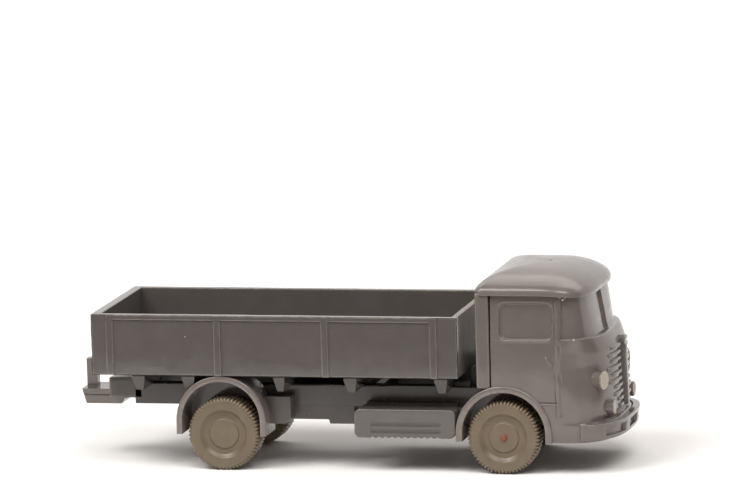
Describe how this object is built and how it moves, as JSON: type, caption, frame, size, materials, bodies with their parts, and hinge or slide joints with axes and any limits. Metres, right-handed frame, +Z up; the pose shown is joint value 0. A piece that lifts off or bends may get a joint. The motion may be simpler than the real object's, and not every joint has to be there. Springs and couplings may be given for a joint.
{
  "type": "toy flatbed truck",
  "caption": "Small moulded plastic toy cab-over flatbed truck with a dropside load bed, solid recessed windows and toothed wheels rolling on steel axles",
  "frame": {"origin": "on the ground, under the middle of the overall length and width", "axes": "+X forward towards the cab's nose, +Y to the truck's left, +Z up"},
  "size_m": [0.09, 0.0278, 0.0323],
  "materials": {
    "slate_plastic": "satin, worn",
    "olive_plastic": "satin, worn",
    "silver_paint": "dull silver paint on plastic",
    "rusty_steel": "rusty"
  },
  "bodies": {
    "truck": {"bed_floor": "slate_plastic", "cab_roof_and_back": "slate_plastic", "cab_shell": "slate_plastic", "chassis_frame": "slate_plastic", "front_boss": "slate_plastic", "front_bumper": "slate_plastic", "front_mudguard_left": "slate_plastic", "front_mudguard_right": "slate_plastic", "grille": "slate_plastic", "headboard": "slate_plastic", "headlamp_left": "silver_paint", "headlamp_right": "silver_paint", "lower_lamp_left": "slate_plastic", "lower_lamp_right": "slate_plastic", "rear_mudguard_left": "slate_plastic", "rear_mudguard_right": "slate_plastic", "side_board_left": "slate_plastic", "side_board_right": "slate_plastic", "side_box_left": "slate_plastic", "side_box_right": "slate_plastic", "tailboard": "slate_plastic", "tow_coupling": "slate_plastic"},
    "front_wheelset": {"front_axle": "rusty_steel", "front_wheel_left": "olive_plastic", "front_wheel_right": "olive_plastic"},
    "rear_wheelset": {"rear_axle": "rusty_steel", "rear_wheel_left": "olive_plastic", "rear_wheel_right": "olive_plastic"}
  },
  "joints": [
    {"name": "front_axle_spin", "type": "hinge", "parent": "truck", "child": "front_wheelset", "pos_m": [0.0264, 0, 0.00585], "axis": [0, 1, 0], "continuous": true},
    {"name": "rear_axle_spin", "type": "hinge", "parent": "truck", "child": "rear_wheelset", "pos_m": [-0.01915, 0, 0.00585], "axis": [0, 1, 0], "continuous": true}
  ]
}
